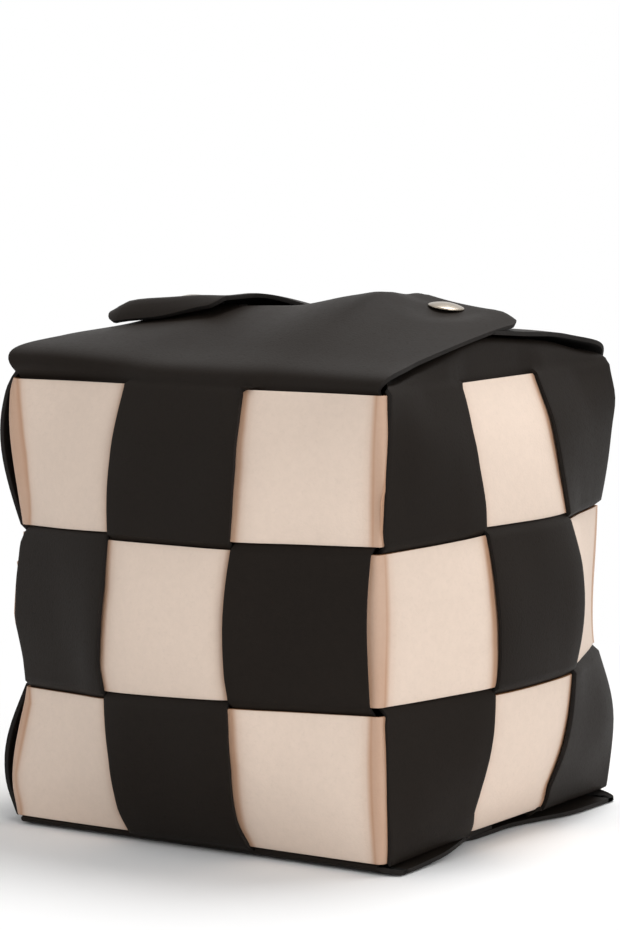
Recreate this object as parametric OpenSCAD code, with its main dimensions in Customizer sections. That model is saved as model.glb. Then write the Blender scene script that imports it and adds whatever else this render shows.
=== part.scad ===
// Woven leather cover for a cube tissue box, standing on the table at z = 0.
// Four slit wall panels stand round the box and three bands are woven through
// their twelve strips. The front and rear panels end in wide flaps that overlap
// at the top and at the bottom and are held by two snap fasteners at each end.
// The side panels end in short flaps that tuck in under the wide ones.

/* [Cover] */
// Width of the square cover between opposite folds
cover_w = 129; // [122:1:136]
// Outward bulge of each face at its middle
face_bulge = 17; // [10:0.5:18]
// Extra outward swell of each woven row
row_puff = 0.9; // [0.3:0.1:2]
// Thickness of the leather
leather_t = 1.3; // [1:0.05:1.5]

/* [Weave] */
// Height of the lower edge of the bottom band
band_low_z = 4.6; // [4.4:0.1:6]
// Height of the bottom band
bottom_band_h = 38.1; // [34:0.1:40]
// Height of the middle band
middle_band_h = 44; // [40:0.5:46]
// Height of the top band
top_band_h = 42.5; // [38:0.5:43]
// Gap between neighbouring bands
band_gap = 2.4; // [2:0.1:3]
// Distance from the top band to the folds above it
top_margin = 3; // [2:0.1:8]
// Width of the slits between the strips of a panel
slit_w = 0.8; // [0.6:0.1:1.2]
// Distance of a panel's side edges from the corner
corner_gap = 1.6; // [1.4:0.1:2.2]
// Free space between a strip and the band that crosses it
weave_gap = 0.15; // [0.1:0.01:0.25]
// Swell of a strip or a band where it lies on top
over_puff = 0.6; // [0.2:0.1:1.5]

/* [Folds] */
// How far the folded shoulder of a front or rear panel reaches inward
shoulder_run = 6; // [5:0.5:8]
// Rise of that shoulder above the top fold
shoulder_rise = 3.2; // [2.6:0.1:4]
// Width of the flat strip that stands on the table under each front or rear panel
foot_land = 3; // [2:0.5:4]
// How far the corners of the lower folds stand out past the side faces' folds
ledge_out = 7; // [3:0.5:8]
// How far the folded shoulder of a side panel reaches inward
side_run = 4.5; // [3.5:0.5:5.5]
// Rise of that shoulder above the top fold
side_rise = 1.4; // [1:0.1:1.6]
// Height of a side panel's lower shoulder
side_foot = 3.6; // [3.5:0.1:4]
// Gap along each fold line between a panel and its flap
fold_gap = 0.5; // [0.4:0.05:0.7]

/* [Flaps] */
// Rise of the top flaps from their shoulder to the middle of the dome
dome_h = 15.4; // [13:0.1:17]
// Drop of the dome towards its side edges
dome_drop = 7.5; // [6:0.5:9]
// How far the outer edge of a tab curls down
tab_curl = 4; // [1:0.5:5]
// Lift of a top flap on the side where it lies on top
over_lift = 4.5; // [4:0.1:6]
// Drop of a top flap on the side where it lies below
under_drop = 0.9; // [0.6:0.1:1.4]
// Swell of a top flap beside the corner on the side where it lies below
corner_puff = 3.4; // [1:0.1:4]
// Reach of the upper tab past the middle of the cover
tab_reach = 18; // [16:0.5:22]
// Droop of the tab's far edge
tab_droop = 5; // [2:0.5:6]
// Radius of the tab's corners
tab_r = 6.5; // [4:0.5:8]
// Length of the dispensing slot
slot_l = 54; // [46:1:58]
// Width of the dispensing slot
slot_w = 8; // [6:0.5:10]
// Gap between the lower flap parts in the middle of the cover
centre_gap = 1; // [0.6:0.1:2]
// Depth of the side flaps
tuck_depth = 15; // [10:0.5:18]
// Distance of a side flap's ends from the corner at its fold
tuck_inset = 7.5; // [7:0.5:12]
// Slope of the lower side flaps, upward into the cover
tuck_slope = 20; // [18:1:24]

/* [Snap fasteners] */
// Distance of a snap fastener from the side edges of its flaps
snap_in = 20.9; // [18:0.1:22]
// Distance of a snap fastener from the middle, across the folds
snap_y = 6.4; // [6:0.1:8]
// How far the upper leather is pressed down round a top snap fastener
snap_press = 1.5; // [0:0.1:2]
// Radius of the domed cap
cap_r = 5.6; // [5:0.1:6.5]
// Height of the domed cap
cap_h = 1.6; // [1.2:0.1:2]
// Radius of the cap's rivet shank
shank_r = 1.6; // [1.2:0.1:1.8]
// Radius of the socket's and the stud's flanges
flange_r = 4.6; // [4.2:0.1:5]
// Thickness of the flanges
flange_t = 0.5; // [0.4:0.05:0.6]
// Bore radius of the socket
socket_r = 2.95; // [2.9:0.05:3.1]
// Wall of the socket's barrel
socket_wall = 0.9; // [0.6:0.1:1.1]
// Length of the socket's barrel
socket_h = 1; // [0.9:0.05:1.1]
// Radius of the stud
stud_r = 1.9; // [1.7:0.05:2]
// How far the stud reaches into the socket
stud_engage = 0.4; // [0.3:0.05:0.5]
// Radius of the post that holds the stud
post_r = 1.1; // [0.9:0.05:1.2]
// Free space round shanks and flanges
snap_gap = 0.1; // [0.05:0.01:0.15]

/* [Hidden] */
black = "#262220";
cream = "#d9c6b4";
nickel = "#b9b2a6";
$fn = 48;

half = cover_w / 2;
pitch = cover_w / 3;
foot_z = leather_t / 2 + 1.5 * leather_t;
weave = leather_t + weave_gap;
band_hs = [bottom_band_h, middle_band_h, top_band_h];
band_los = [band_low_z, band_low_z + bottom_band_h + band_gap,
            band_low_z + bottom_band_h + middle_band_h + 2 * band_gap];
wall_h = band_los[2] + top_band_h + top_margin;
row_shares = [0, 0.12, 0.3, 0.5, 0.7, 0.88, 1];
strip_cuts = 4;
crease_share = 0.15;
bulge_power = 1.3;
dome_power = 1.15;

// Section of the bulged cover: corners draw in as the faces swell
function bulge(z) =
    face_bulge * pow(max(0, 1 - pow(2 * (z - foot_z) / (wall_h - foot_z) - 1, 2)), bulge_power);
function corner(z) = half - pow(bulge(z), 2) / (2 * pitch);
function face_share(s) =
    let (m = crease_share, k = 1 / 3)
    s < k - m ? 1 : s > k + m ? 1.5 * (1 - s) : 1 - 1.5 * pow(s - k + m, 2) / (4 * m);
function face_x(u, z) = u * corner(z) / half;
function face_w(u, z) = corner(z) + bulge(z) * face_share(abs(u) / half);

// Swell of the woven rows and the side on which each strip passes its bands
function row_of(z) = [for (r = [0 : 2]) if (z >= band_los[r] && z <= band_los[r] + band_hs[r]) r];
function row_wave(z) = let (r = row_of(z)) len(r) == 0 ? 0 : sin(180 * (z - band_los[r[0]]) / band_hs[r[0]]);
function side_of(i, r, phase) = (i + r + phase) % 2 == 1 ? 1 : -1;
function strip_side(i, phase, z) =
    lookup(z, concat([[foot_z, 0]],
                     [for (r = [0 : 2], e = [0, 1]) [band_los[r] + e * band_hs[r], side_of(i, r, phase)]],
                     [[wall_h, 0]]));
function strip_off(i, phase, z) =
    let (s = strip_side(i, phase, z))
    row_puff * row_wave(z) + s * weave + (s > 0 ? over_puff * row_wave(z) : 0);

// Columns across one strip, shared by the strips and the bands
function strip_lo(i) = i == 0 ? -half + corner_gap : (i - 1.5) * pitch + slit_w / 2;
function strip_hi(i) = i == 2 ? half - corner_gap : (i - 0.5) * pitch - slit_w / 2;
function strip_us(i) = [for (k = [0 : strip_cuts]) strip_lo(i) + k / strip_cuts * (strip_hi(i) - strip_lo(i))];

// A leather sheet between an outer and an inner grid of points; rows run upward
// and columns to the right as seen from outside, and slits are columns left open
function is_cell(i, j, n, m, slits, open) =
    i >= 0 && i < n && j >= 0 && j < m && !(len(search(i, slits)) > 0 && j >= open[0] && j < open[1]);
function quad(a, b, c, d) = [[a, b, c], [a, c, d]];
module sheet(outer, inner, slits = [], open = [0, 0], ring = false) {
    rows = len(outer);
    cols = len(outer[0]);
    n = ring ? cols : cols - 1;
    m = rows - 1;
    points = concat([for (row = outer) for (p = row) p], [for (row = inner) for (p = row) p]);
    count = rows * cols;
    faces = [for (j = [0 : m - 1], i = [0 : n - 1]) if (is_cell(i, j, n, m, slits, open))
        let (e = (i + 1) % cols,
             a = j * cols + i, b = (j + 1) * cols + i, c = (j + 1) * cols + e, d = j * cols + e,
             left = !ring && !is_cell(i - 1, j, n, m, slits, open),
             right = !ring && !is_cell(i + 1, j, n, m, slits, open))
        each concat(
            quad(a, b, c, d),
            quad(a + count, d + count, c + count, b + count),
            left ? quad(b, a, a + count, b + count) : [],
            right ? quad(d, c, c + count, d + count) : [],
            is_cell(i, j + 1, n, m, slits, open) ? [] : quad(c, b, b + count, c + count),
            is_cell(i, j - 1, n, m, slits, open) ? [] : quad(a, d, d + count, a + count))];
    polyhedron(points, faces);
}

// Lower folds of the front and rear panels: their corners stand out as a ledge
flap_half = half - corner_gap;
snap_x = flap_half - snap_in;
function step(x, a, b) = let (t = min(1, max(0, (x - a) / (b - a)))) t * t * (3 - 2 * t);
function ledge(x) = sign(x) * ledge_out * step(abs(x), snap_x + flange_r, flap_half);

// Wall panels, drawn for the front face: x to the right, outward along -y
wall_turns = [90, 45];
function wall_rows(foot, land) = concat(
    land > 0 ? [["low", wall_turns[0], land]] : [],
    [for (a = wall_turns) ["low", a, 0]],
    [["wall", foot, 0]],
    [for (r = [0 : 2], s = row_shares) ["wall", band_los[r] + s * band_hs[r], 0]],
    [["wall", wall_h, 0]],
    [for (k = [1, 0]) ["high", wall_turns[k], 0]]);
// A shoulder is [how far it reaches inward, its height]
function wall_point(u, i, row, phase, foot, low, high, narrow, flare, off) =
    let (kind = row[0], a = kind == "wall" ? 0 : row[1],
         z0 = kind == "low" ? foot : kind == "high" ? wall_h : row[1],
         way = kind == "low" ? -1 : 1,
         bend = kind == "low" ? low : high,
         w = face_w(u, z0) + strip_off(i, phase, z0) * cos(a) - bend[0] * (1 - cos(a)) - row[2])
    [face_x(u, z0) * (kind == "wall" ? 1 : narrow) + (kind == "low" ? flare * ledge(u) * sin(a) : 0),
     -(w + off * cos(a)),
     z0 + way * (bend[1] + off) * sin(a)];
module wall(phase, foot, low, land, high, narrow, flare) {
    rows = wall_rows(foot, land);
    function side(off) = [for (row = rows)
        [for (i = [0 : 2]) for (u = strip_us(i))
            wall_point(u, i, row, phase, foot, low, high, narrow, flare, off)]];
    first = len([for (row = rows) if (row[0] == "low") row]);
    sheet(side(leather_t / 2), side(-leather_t / 2),
          [strip_cuts, 2 * strip_cuts + 1], [first, len(rows) - 1 - len(wall_turns)]);
}
module end_wall() {
    wall(0, foot_z, [shoulder_run - foot_land, foot_z - leather_t / 2], foot_land,
         [shoulder_run, shoulder_rise], 1, 1);
}
side_narrow = (half - tuck_inset) / (half - corner_gap);
module side_wall() {
    wall(1, side_foot + leather_t / 2, [side_run, leather_t / 2], 0, [side_run, side_rise], side_narrow, 0);
}

// Bands: a closed loop along the same columns, rounded at the four corners
corner_steps = [1 / 3, 2 / 3];
function turn(p, k) = k == 0 ? p : turn([-p[1], p[0]], k - 1);
function band_face(f, r, z) = [for (i = [0 : 2]) for (u = strip_us(i))
    let (q = (u - strip_lo(i)) / (strip_hi(i) - strip_lo(i)),
         off = row_puff * row_wave(z) - side_of(i, r, f) * over_puff * sin(180 * q) * row_wave(z))
    turn([face_x(u, z), -(face_w(u, z) + off)], f)];
function band_line(r, z) = [for (f = [0 : 3])
    let (here = band_face(f, r, z), a = here[len(here) - 1],
         b = turn(band_face(0, r, z)[0], f + 1),
         tip = corner(z) + row_puff * row_wave(z), c = turn([tip, -tip], f))
    each concat(here, [for (t = corner_steps) (1 - t) * (1 - t) * a + 2 * t * (1 - t) * c + t * t * b])];
function unit(v) = v / norm(v);
function pushed(line, off, z) = let (n = len(line)) [for (k = [0 : n - 1])
    let (d = unit(unit(line[(k + 1) % n] - line[k]) + unit(line[k] - line[(k + n - 1) % n])),
         p = line[k] + off * [d[1], -d[0]])
    [p[0], p[1], z]];
module band(r) {
    zs = [for (s = row_shares) band_los[r] + s * band_hs[r]];
    color(cream)
        sheet([for (z = zs) pushed(band_line(r, z), leather_t / 2, z)],
              [for (z = zs) pushed(band_line(r, z), -leather_t / 2, z)], ring = true);
}

// Outline of a front flap: x across it, y from its fold line to its far edge
fold_y = -(half - shoulder_run);
flap_rows = [0, 0.08, 0.2, 0.33, 0.47, 0.6, 0.72, 0.82, 0.91, 1];
tab_shares = [0, 0.06, 0.18, 0.34, 0.5, 0.66, 0.82, 0.94, 1];
flap_xs = concat(
    [for (k = [0 : 5]) -flap_half + k / 5 * (flap_half - slot_l / 2 - slit_w)],
    [for (k = [0 : 6]) -slot_l / 2 + k / 6 * (slot_l - slit_w)],
    [for (s = tab_shares) slot_l / 2 + s * (flap_half - slot_l / 2)]);
function tab_edge(d) = d >= tab_r ? 0 : tab_r - sqrt(pow(tab_r, 2) - pow(tab_r - d, 2));
function far_edge(x) =
    x < -slot_l / 2 ? -centre_gap / 2
    : x < slot_l / 2 ? -slot_w / 2
    : tab_reach - tab_edge(x - slot_l / 2) - tab_edge(flap_half - x);

// Height of a front top flap's middle surface
top_fold_z = wall_h + shoulder_rise;
crest_y = tab_reach - 0.75 * tab_r;
snap_flat = 1.1 * cap_r;
rise_r = 3 * cap_r;
press_r = 4 * cap_r;
function rise_share(y) = 1 - pow(1 - min(1, (y - fold_y) / (crest_y - fold_y)), dome_power);
function droop(y) = y < crest_y ? 0 : tab_droop * pow((y - crest_y) / (tab_reach - crest_y), 2);
function curl(x) = tab_curl * step(x, flap_half - 1.2 * tab_r, half);
function arch(x) = dome_h - dome_drop * pow(x / half, 2) - curl(x);
function lift(x) = -under_drop + (over_lift + under_drop) * step(x, -slot_l / 6, slot_l / 2.5);
function free_top(x, y) = top_fold_z + (arch(x) + lift(x)) * rise_share(y) - droop(y);
snap_stack = leather_t + flange_t + snap_gap + socket_h + flange_t;
snap_low = free_top(-snap_x, -snap_y);
snap_rise = free_top(snap_x, snap_y) - snap_press - snap_low - snap_stack;
function near(x, y, reach) = 1 - step(norm([x, y]), snap_flat, reach);
function rise(x, y) = snap_rise * near(x + snap_x, y + snap_y, rise_r);
function press(x, y) = snap_press * near(x - snap_x, y - snap_y, press_r);
puff_y = fold_y + 2 * shoulder_run;
function puff(x, y) = corner_puff * step(-x, slot_l / 6, flap_half - tab_r)
    * step(y, fold_y, puff_y) * (1 - step(y, puff_y, -2 * tab_r));
function top_z(x, y) = free_top(x, y) + rise(x, y) - press(x, y) + puff(x, y);

// Height of a front bottom flap's middle surface, with its upper and lower
// sides changed over: the tab on the left lies lowest, next to the table
function edge_share(x) = step(abs(x), snap_x + 1.2 * flange_r, flap_half - 1.5 * flange_r);
function bottom_side(x) = step(x, -slot_l / 3, slot_l / 3);
function bottom_z(x, y) =
    let (e = edge_share(x), s = bottom_side(x),
         free = cap_h + s * snap_stack,
         edge = s * (leather_t + weave_gap))
    leather_t / 2 + (free * (1 - e) + edge * e) * step(y, fold_y, fold_y / 2);

function nudge(v, n, off) = v + off * unit(n);
module flap(low) {
    d = leather_t / 4;
    xs = low ? [for (k = [len(flap_xs) - 1 : -1 : 0]) -flap_xs[k]] : flap_xs;
    function height(x, y) = low ? bottom_z(x, y) : top_z(x, y);
    function point(x, s, off) =
        let (y0 = fold_y + fold_gap,
             y = y0 + s * (far_edge(low ? -x : x) - y0),
             out = low ? ledge(x) * step(-y, tab_r, snap_x) : 0,
             z = height(x, y),
             n = [-(height(x + d, y) - z) / d, -(height(x, y + d) - z) / d, 1])
        nudge([x + out, y, z], s == 0 ? [0, 0, 1] : n, off);
    sheet([for (s = flap_rows) [for (x = xs) point(x, s, leather_t / 2)]],
          [for (s = flap_rows) [for (x = xs) point(x, s, -leather_t / 2)]]);
}

// Snap fastener, drawn with the over flap's middle surface at z = 0 and its cap
// upward; the under flap's middle surface lies one stack lower
shank_gap_r = shank_r + snap_gap;
peen_r = socket_r - 3 * snap_gap;
peen_t = 0.7 * flange_t;
seat = leather_t / 2;
under_seat = seat - snap_stack;
cap_ball_r = (pow(cap_r, 2) + pow(cap_h, 2)) / (2 * cap_h);
module turned(points) {
    rotate_extrude() polygon(points);
}
module snap_cap() {
    color(nickel) {
        intersection() {
            translate([0, 0, seat + cap_h - cap_ball_r]) sphere(cap_ball_r, $fn = 96);
            translate([0, 0, seat]) cylinder(r = cap_r, h = 2 * cap_h);
        }
        turned([[0, seat], [shank_r, seat], [shank_r, -seat - flange_t],
                [peen_r, -seat - flange_t], [shank_r, -seat - flange_t - peen_t],
                [0, -seat - flange_t - peen_t]]);
    }
}
module snap_socket() {
    out = socket_r + socket_wall;
    top = -seat;
    low = top - flange_t - socket_h;
    color(nickel)
        turned([[shank_gap_r, top], [flange_r, top], [flange_r, top - flange_t], [out, top - flange_t],
                [out, low], [socket_r, low], [socket_r, top - flange_t], [shank_gap_r, top - flange_t]]);
}
stud_top = under_seat + flange_t + snap_gap + stud_engage;
module snap_stud() {
    bore = post_r + snap_gap;
    lip = stud_r / 4;
    color(nickel)
        turned([[bore, under_seat], [flange_r, under_seat], [flange_r, under_seat + flange_t],
                [stud_r, under_seat + flange_t], [stud_r, stud_top - lip], [stud_r - lip, stud_top],
                [bore, stud_top]]);
}
module snap_post() {
    low = under_seat - leather_t;
    color(nickel)
        turned([[0, low - flange_t], [flange_r, low - flange_t], [flange_r, low], [post_r, low],
                [post_r, stud_top - flange_t / 2], [0, stud_top - flange_t / 2]]);
}
// Room for the cap and the socket in the over flap, or the stud and the post in
// the under flap: the leather is pressed flat between the flanges
module over_room() {
    cylinder(r = shank_gap_r, h = 4 * leather_t, center = true);
    translate([0, 0, seat]) cylinder(r = cap_r + snap_gap, h = 2 * cap_h);
    mirror([0, 0, 1]) translate([0, 0, seat]) cylinder(r = flange_r + snap_gap, h = 2 * cap_h);
}
module under_room() {
    translate([0, 0, under_seat - leather_t / 2]) {
        cylinder(r = post_r + snap_gap, h = 4 * leather_t, center = true);
        translate([0, 0, seat]) cylinder(r = flange_r + snap_gap, h = 2 * cap_h);
        mirror([0, 0, 1]) translate([0, 0, seat]) cylinder(r = flange_r + snap_gap, h = 2 * cap_h);
    }
}
snap_lean = atan(2 * dome_drop * snap_x / pow(half, 2));
module at_top_snap() {
    translate([snap_x, snap_y, top_z(snap_x, snap_y)]) rotate([0, snap_lean, 0]) children();
}
module at_bottom_snap() {
    translate([-snap_x, snap_y, leather_t / 2 + cap_h]) mirror([0, 0, 1]) children();
}
module half_turn() {
    rotate([0, 0, 180]) children();
}

// Flap leather, drawn for the front
module top_flap() {
    color(black) difference() {
        flap(false);
        at_top_snap() over_room();
        half_turn() at_top_snap() under_room();
    }
}
module bottom_flap() {
    color(black) difference() {
        flap(true);
        at_bottom_snap() over_room();
        half_turn() at_bottom_snap() under_room();
    }
}

// Side flaps, drawn for the front face like the walls: mitred at 45 degrees
tuck_fold = half - side_run;
tuck_half = half - tuck_inset;
module tuck(z0, slope, w0) {
    function row(off) = [for (d = [0, tuck_depth])
        [for (e = [-1, 1])
            let (w = w0 - fold_gap - d * cos(slope))
            [e * (tuck_half - fold_gap - d), -(w + off * sin(slope)), z0 + d * sin(slope) + off * cos(slope)]]];
    sheet(row(leather_t / 2), row(-leather_t / 2));
}
module top_tuck() {
    color(black) tuck(wall_h + side_rise, 0, tuck_fold);
}
module bottom_tuck() {
    color(black) tuck(side_foot, tuck_slope, tuck_fold);
}

color(black) end_wall();  // front_wall
color(black) half_turn() end_wall();  // rear_wall
color(black) rotate([0, 0, -90]) side_wall();  // left_wall
color(black) rotate([0, 0, 90]) side_wall();  // right_wall
band(0);  // bottom_band
band(1);  // middle_band
band(2);  // top_band
top_flap();  // front_top_flap
half_turn() top_flap();  // rear_top_flap
rotate([0, 0, -90]) top_tuck();  // left_top_tuck
rotate([0, 0, 90]) top_tuck();  // right_top_tuck
bottom_flap();  // front_bottom_flap
half_turn() bottom_flap();  // rear_bottom_flap
rotate([0, 0, -90]) bottom_tuck();  // left_bottom_tuck
rotate([0, 0, 90]) bottom_tuck();  // right_bottom_tuck
at_top_snap() snap_cap();  // top_right_snap_cap
at_top_snap() snap_socket();  // top_right_snap_socket
at_top_snap() snap_stud();  // top_right_snap_stud
at_top_snap() snap_post();  // top_right_snap_post
half_turn() at_top_snap() snap_cap();  // top_left_snap_cap
half_turn() at_top_snap() snap_socket();  // top_left_snap_socket
half_turn() at_top_snap() snap_stud();  // top_left_snap_stud
half_turn() at_top_snap() snap_post();  // top_left_snap_post
half_turn() at_bottom_snap() snap_cap();  // bottom_right_snap_cap
half_turn() at_bottom_snap() snap_socket();  // bottom_right_snap_socket
half_turn() at_bottom_snap() snap_stud();  // bottom_right_snap_stud
half_turn() at_bottom_snap() snap_post();  // bottom_right_snap_post
at_bottom_snap() snap_cap();  // bottom_left_snap_cap
at_bottom_snap() snap_socket();  // bottom_left_snap_socket
at_bottom_snap() snap_stud();  // bottom_left_snap_stud
at_bottom_snap() snap_post();  // bottom_left_snap_post
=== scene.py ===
import math
from collections import namedtuple

import bpy
import numpy as np
from mathutils import Matrix, Vector, noise


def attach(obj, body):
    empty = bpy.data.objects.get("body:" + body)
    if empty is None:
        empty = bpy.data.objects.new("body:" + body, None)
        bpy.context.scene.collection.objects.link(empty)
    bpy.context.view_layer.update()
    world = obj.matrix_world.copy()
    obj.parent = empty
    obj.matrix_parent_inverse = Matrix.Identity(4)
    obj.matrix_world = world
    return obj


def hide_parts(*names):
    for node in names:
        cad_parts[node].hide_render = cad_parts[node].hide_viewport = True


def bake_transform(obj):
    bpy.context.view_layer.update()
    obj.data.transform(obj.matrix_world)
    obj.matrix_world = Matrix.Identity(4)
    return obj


bl_info = {
    "name": "Woven Leather Tissue Box Cover",
    "version": (1, 0, 0),
    "blender": (4, 5, 0),
    "location": "View3D > Sidebar > Tissue Cover",
    "description": "Leather panels, woven bands, snap fasteners and a plain studio "
                   "for a cube tissue box cover",
    "category": "Add Mesh",
}

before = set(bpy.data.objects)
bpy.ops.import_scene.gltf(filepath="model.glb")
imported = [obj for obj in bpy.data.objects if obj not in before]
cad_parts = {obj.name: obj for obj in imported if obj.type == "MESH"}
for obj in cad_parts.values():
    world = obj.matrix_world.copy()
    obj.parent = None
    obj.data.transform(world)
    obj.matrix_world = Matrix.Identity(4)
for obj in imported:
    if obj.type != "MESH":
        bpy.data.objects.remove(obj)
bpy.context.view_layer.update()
MM = 0.001


# Sizes and colours that a user may change
def length(name, text, default_mm, low_mm, high_mm):
    return bpy.props.FloatProperty(name=name, description=text, default=default_mm * MM,
                                   min=low_mm * MM, max=high_mm * MM, unit="LENGTH", precision=4)


def colour(name, text, value):
    return bpy.props.FloatVectorProperty(name=name, description=text, default=value, size=3,
                                         min=0.0, max=1.0, subtype="COLOR")


class CoverSizes(bpy.types.PropertyGroup):
    """Sizes of the leather cover, which follow the solid model."""
    face_bulge: length("Face bulge", "Outward bulge of each face at its middle", 17, 6, 19)
    row_puff: length("Row swell", "Extra outward swell of each woven row", 0.9, 0, 3)
    over_puff: length("Cell swell", "Swell of a strip or band where it lies on top", 0.6, 0, 2)
    leather_t: length("Leather thickness", "Thickness of all leather", 1.3, 0.8, 2)
    cut_round: length("Edge rounding", "Radius on the cut edges of the leather", 0.28, 0.05, 0.5)
    sway: length("Unevenness", "Slow waviness that hand-woven leather has", 0.45, 0, 1.5)
    cap_r: length("Cap radius", "Radius of a snap fastener's cap", 5.6, 4, 7)
    cap_h: length("Cap height", "Height of a snap fastener's cap", 1.6, 1, 2.5)


class CoverColours(bpy.types.PropertyGroup):
    """Colours of the leathers, their cut edges and the metal."""
    black: colour("Black leather", "Grain side of the panels", (0.0120, 0.0090, 0.0070))
    black_flesh: colour("Black flesh side", "Inner side of the panels", (0.009, 0.0075, 0.0065))
    black_edge: colour("Black cut edge", "Dyed core on the cut edges of the panels", (0.009, 0.0065, 0.005))
    cream: colour("Cream leather", "Grain side of the bands", (0.67, 0.545, 0.455))
    cream_flesh: colour("Cream flesh side", "Inner side of the bands", (0.20, 0.13, 0.085))
    # The cut edges' brown is also the tint of the painted shade on the bands next to the strips
    cream_edge: colour("Cream cut edge", "Raw brown core on the cut edges of the bands", (0.36, 0.16, 0.065))
    nickel: colour("Nickel", "Plating of the snap fasteners", (0.34, 0.295, 0.24))


# Form of the bulged cover, in millimetres, for one face: x to the right, w outward, z up
HALF, PITCH, WALL_H = 64.5, 43.0, 137.0
LEATHER = 1.3
FOOT_Z, SIDE_FOOT_Z = 2.6, 4.25
WEAVE = 1.45
BAND_LOS = (4.6, 45.1, 91.5)
BAND_HS = (38.1, 44.0, 42.5)
CORNER_GAP, SLIT = 1.6, 0.8
STRIP_LOS = (-HALF + CORNER_GAP, -PITCH / 2 + SLIT / 2, PITCH / 2 + SLIT / 2)
STRIP_HIS = (-PITCH / 2 - SLIT / 2, PITCH / 2 - SLIT / 2, HALF - CORNER_GAP)
FOLD_Y, FLAP_HALF = -58.5, 62.9
TOP_FOLD_Z, DOME_H, DOME_DROP, CREST_SOFT = 140.2, 15.4, 7.5, 0.12
OVER_LIFT, UNDER_DROP = 4.5, 0.9
TAB_REACH, TAB_R, TAB_DROOP = 18.0, 6.5, 5.0
CREST_Y = TAB_REACH - 0.75 * TAB_R
UNDER_X, SLOT_EDGE, NOTCH_R = -27.0, -4.0, 3.0
SNAP_X, SNAP_Y, SNAP_STACK, SNAP_PRESS = 42.0, 6.4, 3.4, 1.5
FLANGE_R, CAP_SEAT_R, CAP_DRAW_R, CAP_HEAD = 4.6, 6.2, 20, 1.6
LEDGE_OUT, LEDGE_LEFT = 7.0, 0.5
# Side flaps: half their width at the fold; then, of the upper ones, how far out their fold lies and their
# length; and of the lower ones the same and the fold's height
TUCK_HALF = 57.0
TOP_TUCK_W, TOP_TUCK_LEN = 59.2, 15.3
LOW_TUCK_W, LOW_TUCK_LEN, LOW_TUCK_Z = 59.8, 14.8, 3.6
# Places in millimetres that differ by less than this count as one
TINY = 0.01

# Tab of the front flap (0) and of the rear one (2): x of its inner side, radii of its corners, how far past
# the middle it reaches, where it begins to droop, the share of that at its inner side, and how its tip flares
Tab = namedtuple("Tab", "inner_x inner_r outer_r reach bend_y kept_droop flare")
TABS = {0: Tab(27.0, 6.5, 8.8, 18.0, 14.5, 1.0, 0.0), 2: Tab(22.3, 3.5, 6.5, 20.5, 14.5, 0.45, 2.2)}
# Dome of the same two flaps: height, how much lower its sides lie, curl of the tab's outer edge, swell at the
# corner, the share of that in the middle, and height of the roll along the tab's end
Dome = namedtuple("Dome", "height drop curl swell kept_swell roll")
DOMES = {0: Dome(14.7, DOME_DROP, 2.4, 3.1, 0.3, -0.35), 2: Dome(12.6, 4.8, 2.4, 1.0, 2.1, 0.7)}


def step(x, a, b):
    """0 up to a, 1 from b on, smooth between them."""
    t = np.clip((np.asarray(x, float) - a) / (b - a), 0, 1)
    return t * t * (3 - 2 * t)


def hump(x, middle, width):
    """1 at the middle, falling smoothly to 0 on both sides."""
    return np.exp(-((x - middle) / width) ** 2)


# How far the weave is pulled up round the cover (mm), at each place along the ring that starts in the middle
# of the front face, for the lower edge of the bottom band, the two joints between bands, and the top edge
PULL_PLACES = (-107.5, -64.5, -21.5, 21.5, 64.5, 107.5, 193.5, 240.0)
PULLS = ((4.6, (0, -2.2, -1.6, -1.2, -1.8, 0, 0, 0)),
         (44.0, (0, -1.6, 1.0, 2.5, 1.6, 3.6, 4.0, 0)),
         (90.3, (0, -1.3, 1.1, 1.3, 1.2, 3.3, 2.5, 0)),
         (134.0, (0, 0, 0.2, 0.5, 1.3, 1.3, 1.0, 0)))


def pull(face, u, z):
    """The height that the weave's hand-drawn rows add at a place on the cover."""
    along = (u + 2 * HALF * face + 2 * HALF) % (8 * HALF) - 2 * HALF
    u, z = np.broadcast_arrays(np.asarray(along, float), np.asarray(z, float))
    levels = [np.interp(u, PULL_PLACES, values) for _, values in PULLS]
    heights = [LEATHER / 2] + [height for height, _ in PULLS] + [WALL_H + 4]
    values = np.stack([0 * u] + levels + [0 * u])
    out = np.zeros(u.shape)
    for k in range(len(heights) - 1):
        share = (z - heights[k]) / (heights[k + 1] - heights[k])
        inside = (share >= 0) & (share < 1)
        out = np.where(inside, values[k] + share * (values[k + 1] - values[k]), out)
    return out


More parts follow.
